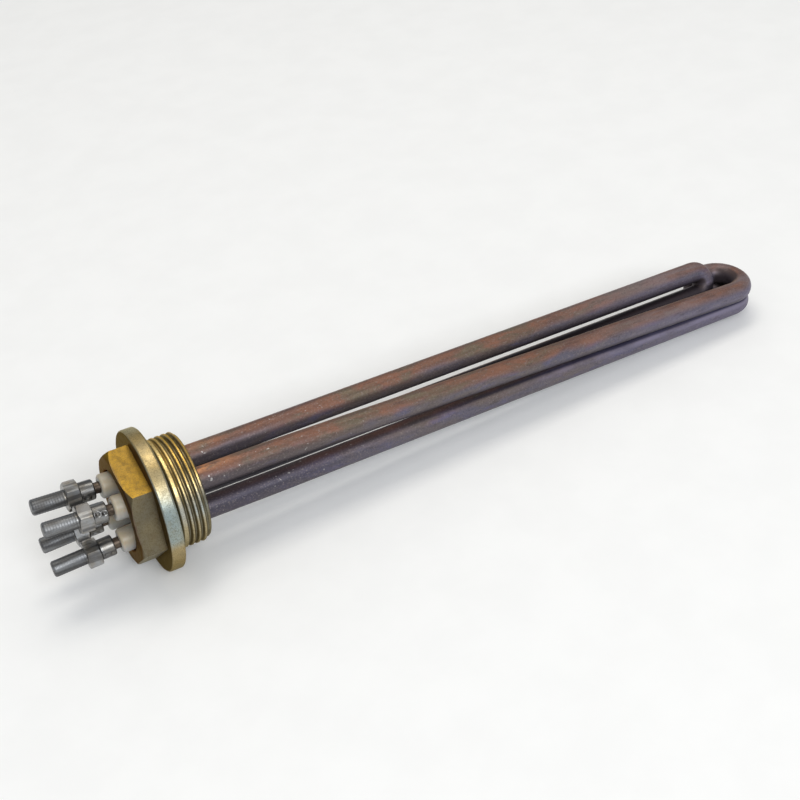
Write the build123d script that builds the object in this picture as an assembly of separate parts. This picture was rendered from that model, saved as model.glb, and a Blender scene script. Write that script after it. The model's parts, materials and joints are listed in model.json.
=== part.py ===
from build123d import *
import math
import os

# Frame: +X runs along the immersed bundle, +Z is up, the origin is the centre
# of the sealing face of the flange. All sizes are in millimetres.

# Screw-in plug
thread_major_d = 41.91
thread_end_x = 12.7
thread_lead_chamfer = 1.1
neck_d = 38.6
neck_length = 2.0
flange_d = 54.4
flange_thickness = 5.4
flange_edge_round = 0.9
hex_across_flats = 40.0
hex_height = 9.0
hex_turn = 13.0
hex_corner_chamfer_d = 41.4
hex_corner_chamfer_length = 1.85
recess_d = 30.8
recess_depth = 11.0
recess_edge_chamfer = 0.5

# Sheathed hairpins
sheath_d = 9.0
sheath_wall = 0.8
leg_pitch_y = 13.8
leg_pitch_z = 14.2
sheath_mouth_x = -9.0
leg_kink_x = 40.0
leg_kink_radius = 160.0

# Far hairpin, a plain loop: y and z of its two legs where the loop begins
far_loop_x = 253.5
far_top_yz = (7.9, 8.1)
far_bottom_yz = (3.5, -1.15)

# Near hairpin: its end is folded back round the far loop
near_fold_top_x = 266.0
near_fold_bottom_x = 269.0
near_top_yz = (-6.35, 0.95)
near_bottom_yz = (-3.5, -7.65)
return_top_yz = (12.8, 0.35)
return_bottom_yz = (13.0, -9.3)
return_loop_x = 265.4

# Half the straight stretch left between the two quarter arcs of a turned-back end
arc_slack = 0.15
tight_arc_slack = 0.02

# Cold pins, seals, insulating beads and heating coils
pin_d = 4.2
pin_inner_x = 32.0
pin_outer_x = -25.0
pin_bend_radius = 25.0
coil_outer_d = 3.4
bead_d = 9.2
bead_front_x = -18.3
bead_seat_gap = 0.35
bead_edge_round = 0.5
spigot_d = 6.8
spigot_length = 3.6
seal_length = 6.0

# The pins are bent apart in the mouths of the sheaths, so each terminal leans
# away from the middle plane, out from this point on the leg's axis
lean_x = -5.0
lean_angle = 3.2
lean_room = 0.8

# Terminal studs and nuts. The stud's free thread is drawn at its outer diameter,
# and the stretch inside the nut at the diameter where the two threads meet.
stud_thread_d = 6.0
stud_engaged_d = 5.35
stud_tip_x = -43.2
stud_tip_chamfer = 0.9
barrel_d = 7.6
barrel_back_x = -20.5
barrel_edge_round = 0.5
nut_across_flats = 10.0
nut_height = 5.0
nut_back_x = -26.0
nut_corner_chamfer = 0.35

# Brazed joints round each leg
braze_d = 11.4
braze_height = 1.3
braze_knee_d = 10.1
braze_knee_height = 0.45
braze_lip = 0.1

# Overshoot of a cutting or joining solid past the face that it passes
spare = 1.0


def vec(x, yz):
    return Vector(x, yz[0], yz[1])


def rounded_line(points, radii):
    """Straight runs through the points, with a tangent arc at every inner corner."""
    edges = []
    last = points[0]
    for i in range(1, len(points) - 1):
        corner = points[i]
        back = (points[i - 1] - corner).normalized()
        ahead = (points[i + 1] - corner).normalized()
        cos_open = max(-1.0, min(1.0, back.dot(ahead)))
        half_open = math.acos(cos_open) / 2
        reach = radii[i - 1] / math.tan(half_open)
        start = corner + back * reach
        end = corner + ahead * reach
        middle_way = (back + ahead).normalized()
        to_centre = radii[i - 1] / math.sin(half_open)
        middle = corner + middle_way * (to_centre - radii[i - 1])
        if (start - last).length > 1e-4:
            edges.append(Edge.make_line(last, start))
        edges.append(Edge.make_three_point_arc(start, middle, end))
        last = end
    edges.append(Edge.make_line(last, points[-1]))
    return Wire(edges)


def rod(wire, diameter):
    """Round bar along a path that starts in the +X direction."""
    start = wire.position_at(0)
    section = Plane(origin=start, z_dir=(1, 0, 0)) * Circle(diameter / 2)
    return sweep(section, path=wire)


def along_x(diameter, x0, x1, yz=(0.0, 0.0)):
    """Cylinder along X from x0 to x1."""
    section = Plane(origin=(x0, yz[0], yz[1]), z_dir=(1, 0, 0)) * Circle(diameter / 2)
    return extrude(section, amount=x1 - x0)


def turned(profile, yz=(0.0, 0.0)):
    """Solid turned about X from (x, radius) points."""
    points = [Vector(x, 0, r) for x, r in profile]
    face = Face(Wire.make_polygon(points, close=True))
    solid = revolve(face, axis=Axis.X, revolution_arc=360)
    return Pos(0, yz[0], yz[1]) * solid


def gap_half(a, b):
    """Half the distance between two (y, z) points."""
    return math.hypot(a[0] - b[0], a[1] - b[1]) / 2


def leaning(solid, yz):
    """Piece drawn along X, moved to a leg and turned outward about the lean point."""
    side = math.copysign(1.0, yz[1])
    turn = Pos(lean_x, 0, 0) * Rot(0, side * lean_angle, 0) * Pos(-lean_x, 0, 0)
    return Pos(0, yz[0], yz[1]) * turn * solid


def on_lean(x, yz):
    """Point on a terminal's axis, x before the lean."""
    reach = lean_x - x
    lean = math.radians(lean_angle)
    side = math.copysign(1.0, yz[1])
    return Vector(lean_x - reach * math.cos(lean), yz[0], yz[1] + side * reach * math.sin(lean))


half_y = leg_pitch_y / 2
half_z = leg_pitch_z / 2
spots = {
    "far_top": (half_y, half_z),
    "near_top": (-half_y, half_z),
    "near_bottom": (-half_y, -half_z),
    "far_bottom": (half_y, -half_z),
}
hex_front_x = -flange_thickness - hex_height
recess_floor_x = hex_front_x + recess_depth
bore_d = sheath_d - 2 * sheath_wall

# Plug: hex head, flange, neck and threaded body in one brass piece
body = turned([
    (-flange_thickness, 0.0),
    (-flange_thickness, flange_d / 2),
    (0.0, flange_d / 2),
    (0.0, neck_d / 2),
    (neck_length, neck_d / 2),
    (neck_length + (thread_major_d - neck_d) / 2, thread_major_d / 2),
    (thread_end_x - thread_lead_chamfer, thread_major_d / 2),
    (thread_end_x, thread_major_d / 2 - thread_lead_chamfer),
    (thread_end_x, 0.0),
])
rim_edges = body.edges().filter_by(GeomType.CIRCLE)
rim_edges = [e for e in rim_edges if abs(e.radius - flange_d / 2) < 1e-6]
body = fillet(rim_edges, flange_edge_round)
hex_plane = Plane(origin=(hex_front_x, 0, 0), x_dir=(0, 1, 0), z_dir=(1, 0, 0))
hex_outline = Rot(0, 0, hex_turn) * RegularPolygon(hex_across_flats / 2, 6, major_radius=False)
hex_head = extrude(hex_plane * hex_outline, amount=hex_height + spare)
corner_r = hex_across_flats / math.sqrt(3)
trim = turned([
    (hex_front_x, 0.0),
    (hex_front_x, hex_corner_chamfer_d / 2),
    (hex_front_x + hex_corner_chamfer_length, corner_r),
    (-flange_thickness + spare, corner_r),
    (-flange_thickness + spare, 0.0),
])
plug = body + (hex_head & trim)
plug -= along_x(recess_d, hex_front_x - spare, recess_floor_x)
plug -= turned([
    (hex_front_x, 0.0),
    (hex_front_x, recess_d / 2 + recess_edge_chamfer),
    (hex_front_x + recess_edge_chamfer, recess_d / 2),
    (hex_front_x + recess_edge_chamfer, 0.0),
])
for yz in spots.values():
    plug -= along_x(sheath_d, recess_floor_x - spare, thread_end_x + spare, yz)

# Centre lines of the two hairpins, mouth to mouth
far_r = gap_half(far_top_yz, far_bottom_yz) - tight_arc_slack
far_points = [
    vec(sheath_mouth_x, spots["far_top"]),
    vec(leg_kink_x, spots["far_top"]),
    vec(far_loop_x + far_r, far_top_yz),
    vec(far_loop_x + far_r, far_bottom_yz),
    vec(leg_kink_x, spots["far_bottom"]),
    vec(sheath_mouth_x, spots["far_bottom"]),
]
far_radii = [leg_kink_radius, far_r, far_r, leg_kink_radius]

top_r = gap_half(near_top_yz, return_top_yz) - arc_slack
bottom_r = gap_half(near_bottom_yz, return_bottom_yz) - arc_slack
return_r = gap_half(return_top_yz, return_bottom_yz) - tight_arc_slack
near_points = [
    vec(sheath_mouth_x, spots["near_top"]),
    vec(leg_kink_x, spots["near_top"]),
    vec(near_fold_top_x + top_r, near_top_yz),
    vec(near_fold_top_x + top_r, return_top_yz),
    vec(return_loop_x - return_r, return_top_yz),
    vec(return_loop_x - return_r, return_bottom_yz),
    vec(near_fold_bottom_x + bottom_r, return_bottom_yz),
    vec(near_fold_bottom_x + bottom_r, near_bottom_yz),
    vec(leg_kink_x, spots["near_bottom"]),
    vec(sheath_mouth_x, spots["near_bottom"]),
]
near_radii = [
    leg_kink_radius, top_r, top_r, return_r, return_r, bottom_r, bottom_r, leg_kink_radius,
]
hairpins = {
    "far": (far_points, far_radii, ("far_top", "far_bottom")),
    "near": (near_points, near_radii, ("near_top", "near_bottom")),
}

parts = {"plug": plug}

# Copper sheaths, mineral filling and heating coils
seal_start_x = lean_x + lean_room
fill_start_x = seal_start_x + seal_length
for name, (points, radii, legs) in hairpins.items():
    sheath = rod(rounded_line(points, radii), sheath_d)
    bore = rod(rounded_line(points, radii), bore_d)
    parts["sheath_" + name] = sheath - bore

    fill_points = list(points)
    fill_points[0] = Vector(fill_start_x, points[0].Y, points[0].Z)
    fill_points[-1] = Vector(fill_start_x, points[-1].Y, points[-1].Z)
    filling = rod(rounded_line(fill_points, radii), bore_d)

    coil_points = list(points)
    coil_points[0] = Vector(pin_inner_x, points[0].Y, points[0].Z)
    coil_points[-1] = Vector(pin_inner_x, points[-1].Y, points[-1].Z)
    coil = rod(rounded_line(coil_points, radii), coil_outer_d)
    filling = filling - coil
    for leg in legs:
        filling = filling - along_x(pin_d, fill_start_x - spare, pin_inner_x, spots[leg])
    parts["filling_" + name] = filling
    parts["coil_" + name] = coil

# One terminal on each leg
nut_front_x = nut_back_x - nut_height
bead_seat_x = sheath_mouth_x - bead_seat_gap
bead = turned([
    (bead_front_x, pin_d / 2),
    (bead_front_x, bead_d / 2 - bead_edge_round),
    (bead_front_x + bead_edge_round, bead_d / 2),
    (bead_seat_x, bead_d / 2),
    (bead_seat_x, spigot_d / 2),
    (bead_seat_x + spigot_length, spigot_d / 2),
    (bead_seat_x + spigot_length, pin_d / 2),
])
stud = turned([
    (stud_tip_x, 0.0),
    (stud_tip_x, stud_thread_d / 2 - stud_tip_chamfer),
    (stud_tip_x + stud_tip_chamfer, stud_thread_d / 2),
    (nut_front_x, stud_thread_d / 2),
    (nut_front_x, stud_engaged_d / 2),
    (nut_back_x, stud_engaged_d / 2),
    (nut_back_x, barrel_d / 2),
    (barrel_back_x - barrel_edge_round, barrel_d / 2),
    (barrel_back_x, barrel_d / 2 - barrel_edge_round),
    (barrel_back_x, pin_d / 2),
    (pin_outer_x, pin_d / 2),
    (pin_outer_x, 0.0),
])
nut_plane = Plane(origin=(nut_front_x, 0, 0), x_dir=(0, 1, 0), z_dir=(1, 0, 0))
nut_outline = RegularPolygon(nut_across_flats / 2, 6, major_radius=False)
nut_corner_r = nut_across_flats / math.sqrt(3)
nut_trim = turned([
    (nut_front_x, 0.0),
    (nut_front_x, nut_corner_r - 2 * nut_corner_chamfer),
    (nut_front_x + nut_corner_chamfer, nut_corner_r),
    (nut_back_x - nut_corner_chamfer, nut_corner_r),
    (nut_back_x, nut_corner_r - 2 * nut_corner_chamfer),
    (nut_back_x, 0.0),
])
nut = extrude(nut_plane * nut_outline, amount=nut_height) & nut_trim
nut -= along_x(stud_engaged_d, nut_front_x - spare, nut_back_x + spare)
for leg, yz in spots.items():
    pin_points = [vec(pin_inner_x, yz), vec(lean_x, yz), on_lean(pin_outer_x, yz)]
    parts["pin_" + leg] = rod(rounded_line(pin_points, [pin_bend_radius]), pin_d)
    parts["bead_" + leg] = leaning(bead, yz)
    parts["stud_" + leg] = leaning(stud, yz)
    parts["nut_" + leg] = leaning(nut, yz)
    parts["seal_" + leg] = turned([
        (seal_start_x, pin_d / 2),
        (seal_start_x, bore_d / 2),
        (fill_start_x, bore_d / 2),
        (fill_start_x, pin_d / 2),
    ], yz)
    parts["braze_" + leg] = turned([
        (thread_end_x, sheath_d / 2),
        (thread_end_x, braze_d / 2),
        (thread_end_x + braze_knee_height, braze_knee_d / 2),
        (thread_end_x + braze_height, sheath_d / 2 + braze_lip),
        (thread_end_x + braze_height, sheath_d / 2),
    ], yz)

os.makedirs("parts", exist_ok=True)
for name, shape in parts.items():
    export_step(shape, "parts/" + name + ".step")
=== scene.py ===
"""Looks of a screw-in heating element: brass screw plug, two sheathed hairpins, four terminals."""
import json
import math

import bmesh
import bpy
from mathutils import Matrix, Vector


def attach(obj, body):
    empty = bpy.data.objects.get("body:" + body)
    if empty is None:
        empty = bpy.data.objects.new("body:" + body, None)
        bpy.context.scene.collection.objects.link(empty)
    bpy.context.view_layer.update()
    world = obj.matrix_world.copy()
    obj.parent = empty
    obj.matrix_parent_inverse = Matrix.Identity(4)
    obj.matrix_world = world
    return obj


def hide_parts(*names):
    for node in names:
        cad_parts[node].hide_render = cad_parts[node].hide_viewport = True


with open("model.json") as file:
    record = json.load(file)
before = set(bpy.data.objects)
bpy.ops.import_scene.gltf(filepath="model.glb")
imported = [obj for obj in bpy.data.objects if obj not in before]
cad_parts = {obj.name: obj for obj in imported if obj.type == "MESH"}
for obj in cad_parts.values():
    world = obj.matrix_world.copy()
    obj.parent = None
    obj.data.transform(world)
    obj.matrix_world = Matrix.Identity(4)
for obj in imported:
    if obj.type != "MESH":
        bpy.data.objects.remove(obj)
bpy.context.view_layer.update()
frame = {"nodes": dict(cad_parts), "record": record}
MM = 0.001

# Plug, in millimetres along and from the axis
FLANGE_FRONT = -5.4
FLANGE_R = 27.2
FLANGE_ROUND = 0.9
BODY_START = 0.4
BODY_STEP = 0.13
BODY_BAND = 0.5
NECK_R = 19.3
NECK_END = 2.0
THREAD_R = 20.94
THREAD_PITCH = 2.309
THREAD_DEPTH = 1.1
THREAD_PHASE = 0.4
THREAD_END = 12.7
LEAD_CHAMFER = 1.1
HEX_FRONT = -14.4
HEX_FLATS = 40.0
HEX_TURN = 13.0
HEX_CHAMFER_R = 20.7
HEX_CHAMFER_RUN = 1.85
HEX_EDGE_ROUND = 0.45
RECESS_R = 15.4
RECESS_FLOOR = -3.4
RECESS_CORNER = 0.5
RECESS_LIP = 0.5
LIP_CURVE = 1.8
SHEATH_R = 4.5

# Terminals in millimetres: where the legs lie, then lengths along and from each leg's axis
LEG_Y = 6.9
LEG_Z = 7.1
LEGS = {
    "far_top": (LEG_Y, LEG_Z),
    "near_top": (-LEG_Y, LEG_Z),
    "near_bottom": (-LEG_Y, -LEG_Z),
    "far_bottom": (LEG_Y, -LEG_Z),
}
LEAN_X = -5.0
LEAN = math.radians(3.2)
STUD_TIP = -43.2
STUD_R = 2.985
STUD_PITCH = 1.0
STUD_THREAD_DEPTH = 0.05
STUD_TIP_CHAMFER = 0.9
STUD_ROOT_R = STUD_R - 0.35
NUT_FRONT = -31.0
NUT_BACK = -26.0
NUT_FLATS = 10.0
NUT_CHAMFER = 0.45
NUT_BORE_R = STUD_R - 0.33
NUT_EDGE_ROUND = 0.10
BARREL_R = 3.8
BARREL_BACK = -20.5
BARREL_CHAMFER = 0.3
BARREL_ROUND = 0.5
BARREL_BORE = 4.4
PIN_R = 2.1
BEAD_R = 4.6
BEAD_FRONT = -18.3
BEAD_SEAT = -9.35
BEAD_ROUND = 1.1
BEAD_SEAT_ROUND = 0.3
BEAD_MOUTH = 0.35
SPIGOT_R = 3.4
SPIGOT_LENGTH = 3.6

# Crimp dents of a barrel: x, and radians from the crimped side
DENTS = [(-24.3, -0.10), (-22.0, -0.02)]
DENT_DEPTH = 0.55
DENT_R = 1.0
DENT_LIP = 0.10
DENT_LIP_R = 1.15
DENT_LIP_WIDTH = 0.4

# Thread form, as shares of half a pitch
CREST_SHARE = 0.18
FLANK_SHARE = 0.74

# Small lengths: on the axis, on a nominal radius, and how far a cutter passes what it trims
ON_AXIS = 1e-6
ON_RADIUS = 0.05
HAIR = 0.001
CLEAR = 0.3
MERGE_METRES = 1e-7


def empty_mesh_object(name):
    mesh = bpy.data.meshes.new(name)
    obj = bpy.data.objects.new(name, mesh)
    bpy.context.scene.collection.objects.link(obj)
    return obj


def mesh_object(name, verts, faces):
    """Mesh from millimetre points, with outward normals."""
    obj = empty_mesh_object(name)
    obj.data.from_pydata([Vector(v) * MM for v in verts], [], faces)
    bm = bmesh.new()
    bm.from_mesh(obj.data)
    bmesh.ops.remove_doubles(bm, verts=bm.verts, dist=MERGE_METRES)
    bmesh.ops.recalc_face_normals(bm, faces=bm.faces)
    bm.to_mesh(obj.data)
    bm.free()
    return obj


def lathe(name, profile, steps, centre=(0.0, 0.0), radius=None):
    """Solid turned from (x, r) points about a line along X through centre, given as (y, z).

    radius(x, r, angle) may change r round the turn.
    """
    verts = []
    faces = []
    rows = []
    for x, r in profile:
        row = []
        if r < ON_AXIS:
            verts.append((x, *centre))
            row = [len(verts) - 1] * steps
        else:
            for k in range(steps):
                angle = 2 * math.pi * k / steps
                rr = radius(x, r, angle) if radius else r
                verts.append((x, centre[0] + rr * math.cos(angle), centre[1] + rr * math.sin(angle)))
                row.append(len(verts) - 1)
        rows.append(row)
    # A profile that starts off the axis closes on itself as a ring
    closed = profile[0][1] > ON_AXIS
    count = len(rows) if closed else len(rows) - 1
    for i in range(count):
        low = rows[i]
        high = rows[(i + 1) % len(rows)]
        for k in range(steps):
            n = (k + 1) % steps
            quad = [low[k], low[n], high[n], high[k]]
            face = [v for j, v in enumerate(quad) if v != quad[j - 1]]
            if len(face) > 2:
                faces.append(face)
    return mesh_object(name, verts, faces)


def arc(cx, cr, radius, start, end, steps):
    """Points of an arc in the (x, r) plane, angles in degrees."""
    points = []
    for i in range(steps + 1):
        a = math.radians(start + (end - start) * i / steps)
        points.append((cx + radius * math.cos(a), cr + radius * math.sin(a)))
    return points


def span(x0, x1, r, step):
    """Evenly spaced points along a straight turned surface."""
    count = max(1, round(abs(x1 - x0) / step))
    return [(x0 + (x1 - x0) * i / count, r) for i in range(count + 1)]


def apply_modifiers(obj):
    bpy.context.view_layer.update()
    graph = bpy.context.evaluated_depsgraph_get()
    mesh = bpy.data.meshes.new_from_object(obj.evaluated_get(graph), depsgraph=graph)
    obj.modifiers.clear()
    old = obj.data
    obj.data = mesh
    bpy.data.meshes.remove(old)


def boolean(obj, tool, operation):
    modifier = obj.modifiers.new(operation.lower(), "BOOLEAN")
    modifier.operation = operation
    modifier.solver = "EXACT"
    modifier.object = tool
    apply_modifiers(obj)
    bpy.data.objects.remove(tool)


def bevel(obj, width, segments, angle):
    modifier = obj.modifiers.new("bevel", "BEVEL")
    modifier.width = width * MM
    modifier.segments = segments
    modifier.limit_method = "ANGLE"
    modifier.angle_limit = math.radians(angle)
    apply_modifiers(obj)


def finish_mesh(obj, sharp):
    """Smooth shading with edges kept sharp above this angle in degrees."""
    obj.data.shade_smooth()
    obj.data.set_sharp_from_angle(angle=math.radians(sharp))
    modifier = obj.modifiers.new("weights", "WEIGHTED_NORMAL")
    modifier.keep_sharp = True
    apply_modifiers(obj)


def hexagon(name, x0, x1, flats, turn):
    """Hexagonal prism along X. At turn 0 degrees it has a corner on the +Y side."""
    corner = flats / math.sqrt(3)
    verts = []
    for x in (x0, x1):
        for k in range(6):
            a = math.radians(60 * k + turn)
            verts.append((x, corner * math.cos(a), corner * math.sin(a)))
    faces = [list(range(6)), list(range(6, 12))]
    faces += [[k, (k + 1) % 6, (k + 1) % 6 + 6, k + 6] for k in range(6)]
    return mesh_object(name, verts, faces)


def smooth(t):
    """Soft step from 0 at t = 0 to 1 at t = 1."""
    t = max(0.0, min(1.0, t))
    return t * t * (3 - 2 * t)


def thread_cut(x, angle, pitch, depth, start, end, fade_in, fade_out):
    """How far a rounded right-hand thread lies below its crest diameter at this place."""
    phase = (x / pitch - angle / (2 * math.pi)) % 1.0
    ridge = abs(2 * phase - 1)
    groove = smooth((ridge - CREST_SHARE) / FLANK_SHARE)
    fade = smooth((x - start) / fade_in) * smooth((end - x) / fade_out)
    return depth * groove * fade


# Materials


class Nodes:
    """A node tree written as short calls."""

    def __init__(self, name):
        self.material = bpy.data.materials.new(name)
        self.material.use_nodes = True
        self.tree = self.material.node_tree
        self.shader = self.tree.nodes["Principled BSDF"]
        self.place = self.node("ShaderNodeTexCoord").outputs["Object"]

    def node(self, kind, **values):
        n = self.tree.nodes.new(kind)
        for key, value in values.items():
            setattr(n, key, value)
        return n

    def link(self, source, target):
        self.tree.links.new(source, target)

    def noise(self, along, across, detail=4.0, rough=0.55, distortion=0.0):
        """Clouds with so many cells to the metre along X and across it."""
        mapping = self.node("ShaderNodeMapping")
        mapping.inputs["Scale"].default_value = (along, across, across)
        self.link(self.place, mapping.inputs["Vector"])
        n = self.node("ShaderNodeTexNoise")
        n.inputs["Scale"].default_value = 1.0
        n.inputs["Detail"].default_value = detail
        n.inputs["Roughness"].default_value = rough
        n.inputs["Distortion"].default_value = distortion
        self.link(mapping.outputs["Vector"], n.inputs["Vector"])
        return n.outputs["Fac"]

    def remap(self, value, low, high, at_low, at_high):
        """Soft step between two levels while the value goes from low to high."""
        n = self.node("ShaderNodeMapRange", interpolation_type="SMOOTHSTEP")
        n.inputs["From Min"].default_value = low
        n.inputs["From Max"].default_value = high
        n.inputs["To Min"].default_value = at_low
        n.inputs["To Max"].default_value = at_high
        self.link(value, n.inputs["Value"])
        return n.outputs["Result"]

    def rise(self, value, low, high, top=1.0):
        return self.remap(value, low, high, 0.0, top)

    def fall(self, value, low, high, top=1.0):
        return self.remap(value, low, high, top, 0.0)

    def math(self, operation, a, b=None):
        n = self.node("ShaderNodeMath", operation=operation)
        for socket, value in ((n.inputs[0], a), (n.inputs[1], b)):
            if value is None:
                continue
            if isinstance(value, (int, float)):
                socket.default_value = value
            else:
                self.link(value, socket)
        return n.outputs[0]

    def product(self, first, *others):
        for other in others:
            first = self.math("MULTIPLY", first, other)
        return first

    def mix(self, factor, a, b):
        """Colour a where the factor is 0, b where it is 1."""
        n = self.node("ShaderNodeMix", data_type="RGBA")
        self.link(factor, n.inputs[0])
        for socket, value in ((n.inputs[6], a), (n.inputs[7], b)):
            if isinstance(value, tuple):
                socket.default_value = (*value, 1.0)
            else:
                self.link(value, socket)
        return n.outputs[2]

    def axes(self, vector):
        """The X, Y and Z parts of a vector."""
        n = self.node("ShaderNodeSeparateXYZ")
        self.link(vector, n.inputs[0])
        return n.outputs

    def normal(self):
        return self.axes(self.node("ShaderNodeNewGeometry").outputs["Normal"])

    def colour(self, value):
        self.link(value, self.shader.inputs["Base Color"])

    def roughness(self, value):
        self.link(value, self.shader.inputs["Roughness"])

    def bump(self, height, strength, distance):
        n = self.node("ShaderNodeBump")
        n.inputs["Strength"].default_value = strength
        n.inputs["Distance"].default_value = distance
        self.link(height, n.inputs["Height"])
        self.link(n.outputs["Normal"], self.shader.inputs["Normal"])

    def set(self, **values):
        """Inputs of the shader, with _ for each space in their names."""
        for key, value in values.items():
            self.shader.inputs[key.replace("_", " ")].default_value = value


# The masks of these finishes work on places in metres and on the surface normal


def hex_tone_and_painted_light(m, up, clouds, mottle):
    """Golden on top, olive on the sides, pale grey below: painted light, with a painted highlight on
    top, painted shade on the sides and a painted lit underside. The clouds and dark mottle are the
    metal's own tone.
    """
    golden = m.mix(m.rise(clouds, 0.35, 0.65), (0.35, 0.21, 0.032), (0.28, 0.17, 0.034))
    olive = m.mix(m.rise(clouds, 0.35, 0.65), (0.215, 0.18, 0.11), (0.17, 0.15, 0.105))
    # Painted light: the colour follows how far each face turns up.
    colour = m.mix(m.rise(up, 0.35, 0.75), olive, golden)
    colour = m.mix(m.fall(up, -0.40, 0.10), colour, (0.44, 0.43, 0.36))
    return m.mix(m.rise(mottle, 0.45, 0.75, 0.40), colour, (0.15, 0.10, 0.042))


def rim_tone_and_painted_light(m, across, up, clouds, mottle):
    """Cool grey at mid height, warm below and on top, pale on the far side: painted reflections and a
    painted highlight on top, set by how the rim faces. The clouds and dark mottle are the metal's own
    tone.
    """
    # Painted reflections and highlight, by the way the surface faces.
    colour = m.mix(m.fall(up, -0.12, 0.08), (0.325, 0.390, 0.380), (0.42, 0.33, 0.175))
    colour = m.mix(m.rise(up, 0.45, 0.85), colour, (0.54, 0.40, 0.18))
    colour = m.mix(m.rise(across, 0.10, 0.45), colour, (0.72, 0.70, 0.52))
    colour = m.mix(m.rise(clouds, 0.38, 0.66, 0.5), colour, (0.36, 0.33, 0.23))
    return m.mix(m.rise(mottle, 0.48, 0.75, 0.4), colour, (0.27, 0.23, 0.14))


def thread_tone_and_painted_light(m, x, off_axis, up, clouds, mottle):
    """Bright crests over dull grooves, brightest in the first turns, and the neck before them: painted
    highlights on the crests, the first turns and the top of the neck, crest colours that change with
    how they face as painted reflections, and grooves painted darker as shade. The clouds and mottle are
    the metal's own tone.
    """
    # Painted highlight on the upper side of the first turns.
    first_turns_highlight = m.product(m.fall(x, 0.003, 0.008), m.rise(up, 0.3, 0.9))
    # Painted reflections: crest colour by the way the crest faces.
    crest = m.mix(m.rise(up, 0.2, 0.9), (0.51, 0.57, 0.57), (0.84, 0.54, 0.13))
    crest = m.mix(m.fall(up, -0.05, 0.30, 0.9), crest, (0.46, 0.38, 0.21))
    crest = m.mix(m.rise(clouds, 0.45, 0.70, 0.5), crest, (0.40, 0.30, 0.13))
    crest = m.mix(m.product(first_turns_highlight, 0.8), crest, (0.96, 0.74, 0.34))
    # Painted shade: grooves darker than the crests, greyer where they face down.
    groove = m.mix(m.rise(mottle, 0.35, 0.65), (0.20, 0.150, 0.070), (0.27, 0.23, 0.14))
    groove = m.mix(m.fall(up, 0.1, 0.6, 0.7), groove, (0.25, 0.245, 0.20))
    groove = m.mix(first_turns_highlight, groove, (0.76, 0.58, 0.27))
    on_crest = m.rise(off_axis, (THREAD_R - THREAD_DEPTH) * MM, (THREAD_R - 0.15) * MM)
    # Painted highlight: the neck is bright on top.
    neck = m.mix(m.rise(up, 0.2, 0.8), (0.27, 0.24, 0.16), (0.62, 0.50, 0.26))
    on_neck = m.fall(x, 0.0014, 0.0024)
    return m.mix(on_neck, m.mix(on_crest, groove, crest), neck)


def recess_stain_and_painted_light(m, x, off_axis, up, colour):
    """Red-brown residue in the terminal recess and, fainter, round its mouth, whose ring is painted
    lighter on its upper side.
    """
    stain = m.noise(350, 350, detail=5.0)
    near_mouth = m.product(
        m.fall(x, (HEX_FRONT + 0.1) * MM, (HEX_FRONT + 0.9) * MM),
        m.remap(stain, 0.30, 0.55, 0.25, 0.85),
    )
    # Painted light: the mouth's ring is lighter where it faces up.
    mouth = m.mix(m.rise(up, 0.2, 0.6), (0.13, 0.080, 0.062), (0.17, 0.115, 0.055))
    in_recess = m.product(
        m.fall(off_axis, (RECESS_R + 0.15) * MM, (RECESS_R + 0.7) * MM),
        m.fall(x, -0.002, 0.0),
    )
    residue = m.mix(m.rise(stain, 0.35, 0.65), (0.13, 0.040, 0.028), (0.06, 0.026, 0.022))
    return m.mix(in_recess, m.mix(near_mouth, colour, mouth), residue)


def brass_material():
    m = Nodes("cast_brass")
    m.set(Metallic=1.0, Specular_Tint=(0.50, 0.42, 0.28, 1.0))
    x, y, z = m.axes(m.place)
    along, across, up = m.normal()
    off_axis = m.math("SQRT", m.math("ADD", m.product(y, y), m.product(z, z)))
    grain = m.noise(2300, 2300, detail=2.0, rough=0.6)
    mottle = m.noise(420, 420, detail=5.0, rough=0.6)
    clouds = m.noise(75, 75, detail=3.0)

    on_hex = m.fall(x, (FLANGE_FRONT - 0.2) * MM, (FLANGE_FRONT + 0.4) * MM)
    on_thread = m.rise(x, 0.0, 0.0006)
    colour = m.mix(on_hex, rim_tone_and_painted_light(m, across, up, clouds, mottle), hex_tone_and_painted_light(m, up, clouds, mottle))
    colour = m.mix(on_thread, colour, thread_tone_and_painted_light(m, x, off_axis, up, clouds, mottle))
    # Painted shade: faces turned to the front, such as the hex's front and the flange's front face, are
    # darker.
    front = m.fall(along, -0.95, -0.75)
    painted_front_shade = m.mix(m.rise(mottle, 0.35, 0.65), (0.085, 0.060, 0.034), (0.13, 0.095, 0.052))
    colour = m.mix(m.product(front, 0.9), colour, painted_front_shade)
    colour = m.mix(m.rise(grain, 0.42, 0.70, 0.5), colour, (0.11, 0.085, 0.04))
    m.colour(recess_stain_and_painted_light(m, x, off_axis, up, colour))
    m.roughness(m.remap(mottle, 0.3, 0.7, 0.34, 0.48))
    m.bump(m.math("ADD", m.product(grain, 0.7), m.product(mottle, 0.8)), 0.4, 0.00012)
    return m.material


# Heights in metres between which the hairpins' top legs give way to the bottom ones
TOP_LEGS = (-0.0035, -0.0025)


class Tube:
    """Where a point of a hairpin lies, how it faces, and the patches that its colours share."""

    def __init__(self, m):
        self.x, self.side, self.height = m.axes(m.place)
        self.along, self.across, self.up = m.normal()
        self.long_patches = m.noise(22, 75, detail=5.0, rough=0.6, distortion=0.6)
        self.patches = m.noise(70, 170, detail=5.0, rough=0.62, distortion=0.4)
        self.streaks = m.noise(140, 800, rough=0.65)
        self.grain = m.noise(1300, 1500, detail=3.0, rough=0.7)
        self.near_side = m.fall(self.side, -0.002, 0.0)


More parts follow.
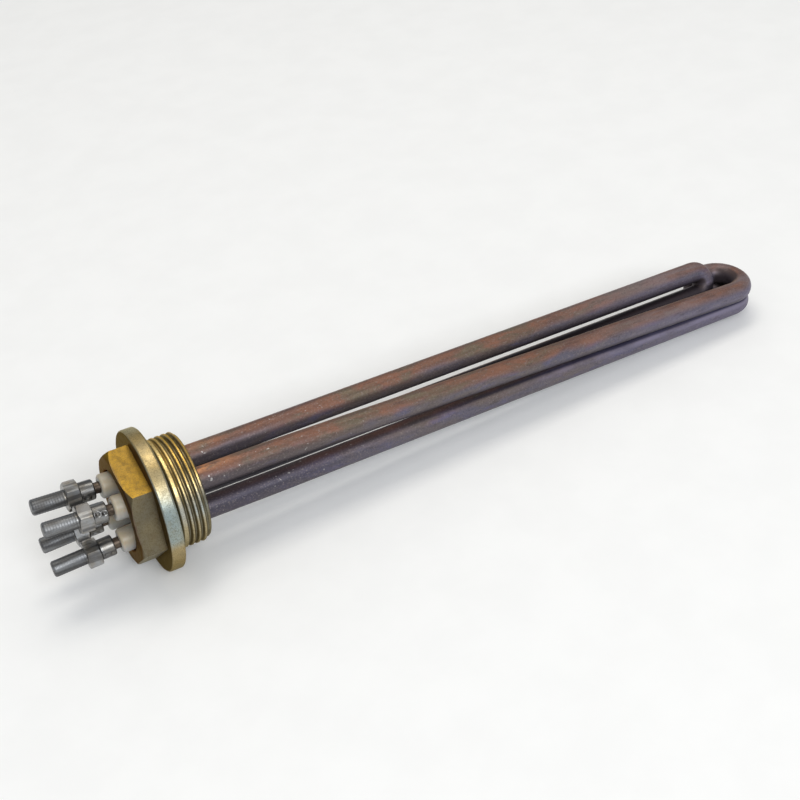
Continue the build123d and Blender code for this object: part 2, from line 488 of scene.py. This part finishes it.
def tarnish_and_painted_light(m, tube):
    """Red and olive above, grey below, violet toward the loops, with dark streaks. The patches and
    streaks are the tube's own tarnish; the split by how the surface faces is painted light: warm where
    it faces up, weaker on the bottom legs, cool grey where it faces down, and the violet bluer below.
    """
    red = m.mix(m.rise(tube.patches, 0.38, 0.64), (0.170, 0.088, 0.068), (0.235, 0.110, 0.070))
    olive = m.mix(m.rise(tube.long_patches, 0.42, 0.6), red, (0.155, 0.122, 0.082))
    grey = m.mix(m.rise(tube.long_patches, 0.36, 0.62), (0.125, 0.115, 0.150), (0.144, 0.120, 0.118))
    grey = m.mix(m.rise(tube.patches, 0.5, 0.72), grey, (0.130, 0.122, 0.200))
    uneven = m.remap(tube.long_patches, 0.2, 0.8, -0.30, 0.30)
    # Painted light: warm where the tube faces up, less so on the bottom legs.
    upper = m.product(
        m.rise(m.math("ADD", tube.up, uneven), 0.20, 0.85),
        m.remap(tube.height, *TOP_LEGS, 0.25, 1.0),
    )
    colour = m.mix(upper, grey, m.mix(m.rise(tube.patches, 0.35, 0.6), olive, red))
    far_end = m.product(m.rise(tube.x, 0.16, 0.25), m.rise(tube.long_patches, 0.34, 0.56), 0.8)
    # Painted reflection: the violet is bluer where the tube faces down.
    violet = m.mix(m.rise(tube.up, 0.4, 0.8), (0.170, 0.155, 0.230), (0.230, 0.180, 0.190))
    colour = m.mix(far_end, colour, violet)
    return m.mix(m.rise(tube.streaks, 0.50, 0.72, 0.42), colour, (0.060, 0.044, 0.042))


def red_patches_and_painted_light(m, tube, colour):
    """Painted shade beside the plug, copper-red patches, and a painted shadow on the top of the near
    lower leg beside the plug; a pale painted highlight along an edge of the near top leg.
    """
    on_top_leg = m.product(tube.near_side, m.rise(tube.height, *TOP_LEGS))
    # Painted highlight: a pale edge on the near top leg.
    pale_edge = m.product(on_top_leg, m.rise(tube.across, 0.10, 0.60, 0.75))
    colour = m.mix(pale_edge, colour, (0.34, 0.225, 0.16))
    # Painted shade beside the plug, strongest where the tubes face down or sideways.
    painted_plug_shade = m.product(m.fall(tube.x, 0.020, 0.100, 0.55), m.remap(tube.up, 0.35, 0.90, 1.0, 0.25))
    colour = m.mix(painted_plug_shade, colour, (0.065, 0.050, 0.052))
    blotches = m.noise(200, 380, detail=5.0, rough=0.65)
    heat = m.product(
        m.fall(tube.x, 0.012, 0.038),
        m.remap(tube.side, -0.002, 0.002, 1.0, 0.45),
        m.rise(tube.height, 0.004, 0.009),
        m.rise(tube.up, 0.1, 0.9),
        m.rise(tube.across, -0.65, 0.05),
        m.remap(blotches, 0.34, 0.66, 0.1, 1.0),
    )
    colour = m.mix(heat, colour, (0.66, 0.29, 0.12))
    # Painted shadow: the near lower leg's top, beside the plug, is darker.
    dark_foot = m.product(
        tube.near_side,
        m.fall(tube.x, 0.030, 0.110, 0.6),
        m.fall(tube.height, -0.003, -0.001),
        m.remap(tube.up, -0.1, 0.5, 0.3, 1.0),
    )
    return m.mix(dark_foot, colour, (0.048, 0.046, 0.070))


def near_bottom_leg(m, tube, colour):
    """Dark on top, where the leg above keeps the light off, with a lit shoulder beside it."""
    on_leg = m.product(tube.near_side, m.fall(tube.height, *TOP_LEGS))
    past_crease = m.math("SUBTRACT", tube.up, m.remap(tube.x, 0.14, 0.26, 0.80, 0.53))
    shoulder = m.product(
        m.rise(past_crease, -0.50, -0.10),
        m.rise(tube.x, 0.13, 0.22, 0.8),
        m.remap(tube.patches, 0.35, 0.60, 0.35, 1.0),
    )
    colour = m.mix(m.product(on_leg, shoulder), colour, (0.250, 0.225, 0.310))
    crease = m.product(m.rise(past_crease, -0.03, 0.15), m.remap(tube.x, 0.08, 0.14, 0.3, 0.85))
    return m.mix(m.product(on_leg, crease), colour, (0.022, 0.020, 0.056))


def painted_shade_sides(m, tube, colour):
    """Painted shade: darker undersides, gaps between the legs and insides of the bends."""
    # Painted shade on the undersides.
    under = m.product(m.fall(tube.up, -0.7, 0.05, 0.9), m.rise(tube.height, -0.007, -0.004))
    colour = m.mix(under, colour, (0.040, 0.030, 0.036))
    # Painted shade on the far legs low down, seen through the gaps between the legs.
    between = m.product(
        m.rise(tube.side, -0.0018, -0.0008),
        m.fall(tube.height, 0.0034, 0.0048),
        m.fall(tube.x, 0.262, 0.270, 0.92),
        m.fall(tube.across, 0.20, 0.60),
    )
    colour = m.mix(between, colour, (0.022, 0.017, 0.024))
    # Painted shade inside the bends.
    inside_bend = m.product(m.rise(tube.x, 0.240, 0.250), m.fall(tube.along, -0.45, -0.15, 0.85))
    return m.mix(inside_bend, colour, (0.045, 0.032, 0.034))


def copper_material():
    m = Nodes("oxidised_copper")
    m.set(Metallic=0.6)
    tube = Tube(m)
    colour = red_patches_and_painted_light(m, tube, tarnish_and_painted_light(m, tube))
    colour = m.mix(m.rise(tube.grain, 0.52, 0.72, 0.55), colour, (0.27, 0.225, 0.21))
    colour = m.mix(m.fall(tube.grain, 0.30, 0.46, 0.45), colour, (0.055, 0.042, 0.045))
    colour = near_bottom_leg(m, tube, colour)
    colour = painted_shade_sides(m, tube, colour)
    specks = m.noise(420, 520, detail=3.0, rough=0.7)
    pale_specks = m.product(m.rise(specks, 0.66, 0.70), m.fall(tube.x, 0.02, 0.12), 0.8)
    m.colour(m.mix(pale_specks, colour, (0.50, 0.48, 0.46)))
    m.roughness(m.remap(tube.patches, 0.3, 0.7, 0.42, 0.58))
    m.bump(m.math("ADD", tube.grain, m.product(tube.streaks, 0.6)), 0.30, 0.0001)
    return m.material


def steel_material():
    m = Nodes("dull_zinc_plate")
    m.set(Metallic=1.0)
    x = m.axes(m.place)[0]
    clouds = m.noise(240, 240)
    reflection_bands = m.noise(25, 480, detail=3.0)
    fine = m.noise(1800, 2600, detail=2.0)
    free_thread = m.fall(x, (NUT_FRONT - 0.5) * MM, NUT_FRONT * MM)
    barrel = m.rise(x, NUT_BACK * MM, (NUT_BACK + 0.3) * MM)
    colour = m.mix(m.rise(clouds, 0.35, 0.65), (0.31, 0.315, 0.32), (0.26, 0.235, 0.20))
    colour = m.mix(m.product(free_thread, 0.75), colour, (0.12, 0.123, 0.13))
    colour = m.mix(m.product(barrel, 0.55), colour, (0.13, 0.125, 0.115))
    # Painted reflections: light and dark bands running along the terminals.
    colour = m.mix(m.fall(reflection_bands, 0.38, 0.50, 0.35), colour, (0.40, 0.41, 0.42))
    colour = m.mix(m.rise(reflection_bands, 0.48, 0.60, 0.70), colour, (0.075, 0.075, 0.078))
    m.colour(m.mix(m.rise(fine, 0.5, 0.75, 0.25), colour, (0.10, 0.09, 0.08)))
    gloss = m.remap(clouds, 0.3, 0.7, 0.30, 0.40)
    m.roughness(m.math("ADD", gloss, m.product(free_thread, 0.16)))
    m.bump(fine, 0.22, 0.00006)
    return m.material


def pin_material():
    m = Nodes("dark_pin_steel")
    m.set(Metallic=0.9)
    clouds = m.noise(300, 500)
    m.colour(m.mix(m.rise(clouds, 0.35, 0.65), (0.13, 0.10, 0.075), (0.06, 0.045, 0.035)))
    m.roughness(m.remap(clouds, 0.3, 0.7, 0.35, 0.55))
    m.bump(clouds, 0.2, 0.0001)
    return m.material


def ceramic_material():
    m = Nodes("steatite_ceramic")
    m.set(Roughness=0.36, Specular_IOR_Level=0.5, Subsurface_Weight=0.08, Subsurface_Scale=0.001)
    up = m.normal()[2]
    clouds = m.noise(180, 260)
    grime = m.noise(700, 700, rough=0.7)
    colour = m.mix(m.rise(clouds, 0.35, 0.65), (0.43, 0.355, 0.24), (0.40, 0.36, 0.28))
    # Painted reflection: bluish grey where the bead faces down.
    colour = m.mix(m.fall(up, -0.2, 0.5, 0.6), colour, (0.33, 0.35, 0.37))
    m.colour(m.mix(m.rise(grime, 0.56, 0.74, 0.45), colour, (0.26, 0.21, 0.14)))
    m.bump(grime, 0.12, 0.0001)
    return m.material


def grained_material(name, light, dark, metallic, roughness, cells):
    """Inner pieces: a fine two-tone grain with uneven gloss."""
    m = Nodes(name)
    m.set(Metallic=metallic)
    grain = m.noise(cells, cells)
    m.colour(m.mix(m.rise(grain, 0.35, 0.65), light, dark))
    m.roughness(m.remap(grain, 0.3, 0.7, *roughness))
    m.bump(grain, 0.15, 0.0001)
    return m.material


FINISHES = {
    "brass": brass_material(),
    "copper": copper_material(),
    "plated_steel": steel_material(),
    "steel_pin": pin_material(),
    "ceramic": ceramic_material(),
    "sealing_resin": grained_material(
        "sealing_resin", (0.30, 0.06, 0.04), (0.20, 0.04, 0.03), 0.0, (0.5, 0.7), 600,
    ),
    "magnesia": grained_material(
        "packed_magnesia", (0.74, 0.73, 0.70), (0.62, 0.61, 0.58), 0.0, (0.8, 0.95), 1500,
    ),
    "resistance_alloy": grained_material(
        "resistance_alloy", (0.42, 0.40, 0.37), (0.28, 0.27, 0.26), 1.0, (0.3, 0.45), 900,
    ),
    "braze_alloy": grained_material(
        "braze_alloy", (0.60, 0.50, 0.28), (0.38, 0.30, 0.17), 1.0, (0.3, 0.5), 700,
    ),
}


def dress(obj, slot):
    obj.data.materials.clear()
    obj.data.materials.append(FINISHES[slot])
    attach(obj, "root")


# Plug


def plug_profile():
    """Flange and the body's plain cylinder, from the flange's front to the wet face."""
    rim_centre = FLANGE_R - FLANGE_ROUND
    profile = [(FLANGE_FRONT, 0.0)]
    profile += arc(FLANGE_FRONT + FLANGE_ROUND, rim_centre, FLANGE_ROUND, 180, 90, 6)
    profile += arc(-FLANGE_ROUND, rim_centre, FLANGE_ROUND, 90, 0, 6)
    profile += [(0.0, NECK_R)]
    profile += span(BODY_START, THREAD_END - LEAD_CHAMFER, THREAD_R, BODY_STEP)
    profile += [(THREAD_END - 0.5 * LEAD_CHAMFER, THREAD_R - 0.35 * LEAD_CHAMFER)]
    profile += [(THREAD_END, THREAD_R - LEAD_CHAMFER), (THREAD_END, 0.0)]
    return profile


def plug_radius(x, r, angle):
    """The neck and the pipe thread, cut into the body's cylinder."""
    if r < THREAD_R - BODY_BAND or x < 0:
        return r
    past_neck = smooth((x - 0.3) / 1.2) * smooth((x - NECK_END + 1.4) / 1.6)
    neck = (THREAD_R - NECK_R) * (1 - past_neck)
    turned_x = x - THREAD_PHASE * THREAD_PITCH
    start = NECK_END - 0.3
    end = THREAD_END + 2.0
    thread = thread_cut(turned_x, angle, THREAD_PITCH, THREAD_DEPTH, start, end, 1.6, 1.5)
    return r - max(neck, thread)


def hex_head():
    """Hexagon with rounded edges and a turned front chamfer."""
    head = hexagon("head", HEX_FRONT, FLANGE_FRONT + 1.0, HEX_FLATS, HEX_TURN)
    corner = HEX_FLATS / math.sqrt(3)
    trim = lathe("trim", [
        (HEX_FRONT - HAIR, 0.0),
        (HEX_FRONT - HAIR, HEX_CHAMFER_R - 0.6),
        (HEX_FRONT + 0.25 * HEX_CHAMFER_RUN, HEX_CHAMFER_R + 0.55),
        (HEX_FRONT + HEX_CHAMFER_RUN, corner - 0.05),
        (HEX_FRONT + 2.2 * HEX_CHAMFER_RUN, corner + CLEAR),
        (FLANGE_FRONT + 1.5, corner + CLEAR),
        (FLANGE_FRONT + 1.5, 0.0),
    ], 128)
    boolean(head, trim, "INTERSECT")
    bevel(head, HEX_EDGE_ROUND, 4, 22)
    return head


def recess_cutter():
    """Terminal recess with a worn lip at its mouth."""
    mouth_r = RECESS_R + RECESS_LIP
    profile = [(HEX_FRONT - 2.0, 0.0), (HEX_FRONT - 2.0, mouth_r), (HEX_FRONT - 0.02, mouth_r)]
    for t in (0.2, 0.45, 0.75, 1.0):
        profile.append((HEX_FRONT + RECESS_LIP * t, RECESS_R + RECESS_LIP * (1 - t) ** LIP_CURVE))
    profile += [(RECESS_FLOOR - RECESS_CORNER, RECESS_R), (RECESS_FLOOR, RECESS_R - RECESS_CORNER)]
    profile += [(RECESS_FLOOR, 0.0)]
    return lathe("recess", profile, 128)


def plug_piece():
    plug = lathe("screw_plug", plug_profile(), 256, radius=plug_radius)
    boolean(plug, hex_head(), "UNION")
    boolean(plug, recess_cutter(), "DIFFERENCE")
    for yz in LEGS.values():
        hole = lathe("hole", [
            (RECESS_FLOOR - 1.0, 0.0),
            (RECESS_FLOOR - 1.0, SHEATH_R),
            (THREAD_END + 1.0, SHEATH_R),
            (THREAD_END + 1.0, 0.0),
        ], 48, centre=yz)
        boolean(plug, hole, "DIFFERENCE")
    finish_mesh(plug, 32)
    dress(plug, "brass")
    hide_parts("plug")


# Terminals, drawn on the X axis and then set on their legs


def set_on_leg(obj, yz):
    """Move a piece to its leg and turn it outward about the lean point."""
    side = math.copysign(1.0, yz[1])
    pivot = Vector((LEAN_X, 0, 0)) * MM
    turn = Matrix.Translation(pivot) @ Matrix.Rotation(side * LEAN, 4, "Y") @ Matrix.Translation(-pivot)
    obj.data.transform(Matrix.Translation(Vector((0, *yz)) * MM) @ turn)


def crimped(x, r, angle, crimp_side):
    """Radius of the barrel with its two dents and the metal that they push up."""
    for dent_x, dent_turn in DENTS:
        off = angle - crimp_side - dent_turn
        around = math.atan2(math.sin(off), math.cos(off)) * BARREL_R
        distance = math.hypot(x - dent_x, around)
        r -= DENT_DEPTH * smooth(1 - distance / DENT_R)
        r += DENT_LIP * smooth(1 - abs(distance - DENT_LIP_R) / DENT_LIP_WIDTH)
    return min(r, BARREL_R + DENT_LIP)


def stud_piece(leg, yz, crimp_side):
    tip_r = STUD_R - STUD_TIP_CHAMFER
    tip_end = STUD_TIP + STUD_TIP_CHAMFER
    profile = [(STUD_TIP, 0.0), (STUD_TIP, tip_r)]
    profile += arc(tip_end, tip_r, STUD_TIP_CHAMFER, 165, 100, 4)
    profile += span(tip_end, NUT_FRONT, STUD_R, 0.1)
    profile += [(NUT_FRONT + 0.3, STUD_ROOT_R), (NUT_BACK, STUD_ROOT_R)]
    profile += [(NUT_BACK, BARREL_R - BARREL_CHAMFER), (NUT_BACK + BARREL_CHAMFER, BARREL_R)]
    profile += span(NUT_BACK + 0.6, BARREL_BACK - 0.6, BARREL_R, 0.3)
    profile += arc(BARREL_BACK - BARREL_ROUND, BARREL_R - BARREL_ROUND, BARREL_ROUND, 90, 0, 4)
    bore_end = BARREL_BACK - BARREL_BORE
    profile += [(BARREL_BACK, PIN_R), (bore_end, PIN_R), (bore_end, 0.0)]

    def radius(x, r, angle):
        if x < NUT_FRONT and r > STUD_R - ON_RADIUS:
            start = STUD_TIP
            end = NUT_FRONT + 1.0
            return r - thread_cut(x, angle, STUD_PITCH, STUD_THREAD_DEPTH, start, end, 0.5, 0.4)
        if x > NUT_BACK and r > BARREL_R - ON_RADIUS:
            return crimped(x, r, angle, crimp_side)
        return r

    stud = lathe("terminal_stud_" + leg, profile, 96, radius=radius)
    finish_mesh(stud, 50)
    set_on_leg(stud, yz)
    dress(stud, "plated_steel")
    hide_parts("stud_" + leg)


def nut_piece(leg, yz, turn):
    nut = hexagon("terminal_nut_" + leg, NUT_FRONT, NUT_BACK, NUT_FLATS, turn)
    corner = NUT_FLATS / math.sqrt(3)
    trim = lathe("trim", [
        (NUT_FRONT - HAIR, 0.0),
        (NUT_FRONT - HAIR, corner - 2.0 * NUT_CHAMFER),
        (NUT_FRONT + NUT_CHAMFER, corner),
        (NUT_FRONT + NUT_CHAMFER + 0.1, corner + CLEAR),
        (NUT_BACK - NUT_CHAMFER - 0.1, corner + CLEAR),
        (NUT_BACK - NUT_CHAMFER, corner),
        (NUT_BACK + HAIR, corner - 2.0 * NUT_CHAMFER),
        (NUT_BACK + HAIR, 0.0),
    ], 72)
    boolean(nut, trim, "INTERSECT")
    cutter = lathe("bore", [
        (NUT_FRONT - 0.5, 0.0),
        (NUT_FRONT - 0.5, STUD_R + 0.6),
        (NUT_FRONT + 0.35, STUD_R - 0.2),
        (NUT_FRONT + 0.7, NUT_BORE_R),
        (NUT_BACK - 0.4, NUT_BORE_R),
        (NUT_BACK + 0.5, STUD_R + 0.3),
        (NUT_BACK + 0.5, 0.0),
    ], 48)
    boolean(nut, cutter, "DIFFERENCE")
    bevel(nut, NUT_EDGE_ROUND, 2, 24)
    finish_mesh(nut, 35)
    set_on_leg(nut, yz)
    dress(nut, "plated_steel")
    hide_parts("nut_" + leg)


def bead_piece(leg, yz):
    spigot_end = BEAD_SEAT + SPIGOT_LENGTH
    seat_x = BEAD_SEAT - BEAD_SEAT_ROUND
    profile = [(BEAD_FRONT + BEAD_MOUTH, PIN_R), (BEAD_FRONT, PIN_R + BEAD_MOUTH)]
    profile += arc(BEAD_FRONT + BEAD_ROUND, BEAD_R - BEAD_ROUND, BEAD_ROUND, 180, 90, 6)
    profile += arc(seat_x, BEAD_R - BEAD_SEAT_ROUND, BEAD_SEAT_ROUND, 90, 0, 3)
    profile += [(BEAD_SEAT, SPIGOT_R), (spigot_end, SPIGOT_R), (spigot_end, PIN_R)]
    bead = lathe("insulating_bead_" + leg, profile, 64)
    finish_mesh(bead, 50)
    set_on_leg(bead, yz)
    dress(bead, "ceramic")
    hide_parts("bead_" + leg)


# Turns about X in degrees, so that no two nuts or crimps sit alike
NUT_TURNS = {"far_top": 8, "near_top": 22, "near_bottom": 14, "far_bottom": 0}
CRIMP_SIDES = {"far_top": 190, "near_top": 150, "near_bottom": 188, "far_bottom": 200}

plug_piece()
for leg, yz in LEGS.items():
    stud_piece(leg, yz, math.radians(CRIMP_SIDES[leg]))
    nut_piece(leg, yz, NUT_TURNS[leg])
    bead_piece(leg, yz)

# Pieces that keep their solid: finish by the record's slot
for part in frame["record"]["subparts"]:
    node = frame["nodes"][part["node"]]
    if not node.hide_render:
        node.data.materials.clear()
        node.data.materials.append(FINISHES[part["material_slot"]])
        if part["node"].startswith("sheath_"):
            node.data.shade_smooth()

# Floor: a plane under the flange's rim and the folded end of the loops
FLANGE_FOOT = Vector((-FLANGE_ROUND, 0.0, -FLANGE_R)) * MM
FOLD_FOOT = Vector((268.0, 0.0, -13.68)) * MM
FLOOR_HALF_METRES = 4.0


def floor_piece():
    run = (FOLD_FOOT - FLANGE_FOOT).normalized()
    side = Vector((0, 1, 0))
    up = run.cross(side)
    floor = empty_mesh_object("studio_floor")
    bm = bmesh.new()
    bmesh.ops.create_grid(bm, x_segments=8, y_segments=8, size=FLOOR_HALF_METRES)
    bm.to_mesh(floor.data)
    bm.free()
    turn = Matrix((run, side, up)).transposed().to_4x4()
    floor.matrix_world = Matrix.Translation(FLANGE_FOOT) @ turn
    m = Nodes("studio_paper")
    m.set(Roughness=0.9, Specular_IOR_Level=0.2)
    fibre = m.noise(40, 40, detail=3.0)
    m.colour(m.mix(m.rise(fibre, 0.3, 0.7), (0.905, 0.905, 0.90), (0.885, 0.885, 0.88)))
    floor.data.materials.append(m.material)


floor_piece()

# Camera, placed by the photograph's perspective. Lengths in metres.
CAMERA_PLACE = Vector((-0.0909953, -0.3561871, 0.3117801))
CAMERA_RIGHT = Vector((0.8692424, -0.4936686, -0.0266274))
CAMERA_DOWN = Vector((-0.3175476, -0.5162294, -0.7954060))
CAMERA_FORWARD = Vector((0.3789211, 0.6998561, -0.6054917))
SENSOR = 36.0
FOCAL_PIXELS = 1298.0
IMAGE_PIXELS = 800

# Light from all round, darker and bluer from below
SKY_BELOW = (0.30, 0.33, 0.38, 1.0)
SKY_ABOVE = (0.60, 0.60, 0.59, 1.0)


def add_camera():
    data = bpy.data.cameras.new("camera")
    data.sensor_width = SENSOR
    data.lens = SENSOR * FOCAL_PIXELS / IMAGE_PIXELS
    data.clip_start = 0.02
    data.clip_end = 20.0
    camera = bpy.data.objects.new("camera", data)
    bpy.context.scene.collection.objects.link(camera)
    turn = Matrix((CAMERA_RIGHT, -CAMERA_DOWN, -CAMERA_FORWARD)).transposed().to_4x4()
    camera.matrix_world = Matrix.Translation(CAMERA_PLACE) @ turn
    bpy.context.scene.camera = camera


def add_area(name, place, target, size, power, colour):
    """Soft lamp turned to its target. Lengths in metres, power in watts."""
    data = bpy.data.lights.new(name, "AREA")
    data.shape = "RECTANGLE"
    data.size, data.size_y = size
    data.energy = power
    data.color = colour
    lamp = bpy.data.objects.new(name, data)
    bpy.context.scene.collection.objects.link(lamp)
    aim = (Vector(target) - Vector(place)).to_track_quat("-Z", "Y")
    lamp.matrix_world = Matrix.Translation(Vector(place)) @ aim.to_matrix().to_4x4()


def add_world():
    world = bpy.data.worlds.new("studio")
    bpy.context.scene.world = world
    world.use_nodes = True
    tree = world.node_tree
    background = tree.nodes["Background"]
    coords = tree.nodes.new("ShaderNodeTexCoord")
    split = tree.nodes.new("ShaderNodeSeparateXYZ")
    ramp = tree.nodes.new("ShaderNodeValToRGB")
    tree.links.new(coords.outputs["Generated"], split.inputs[0])
    tree.links.new(split.outputs[2], ramp.inputs[0])
    tree.links.new(ramp.outputs["Color"], background.inputs["Color"])
    below, above = ramp.color_ramp.elements
    below.position = 0.0
    below.color = SKY_BELOW
    above.position = 0.9
    above.color = SKY_ABOVE
    background.inputs["Strength"].default_value = 1.0


add_camera()
add_world()
add_area("key_softbox", (-0.05, -1.70, 1.40), (0.12, 0, 0), (1.0, 0.8), 25.3, (0.95, 0.975, 1.0))
add_area("top_softbox", (0.10, 0.42, 1.60), (0.10, 0, 0), (1.12, 0.56), 7.3, (1.0, 0.95, 0.86))

bpy.context.scene.view_settings.view_transform = "Standard"
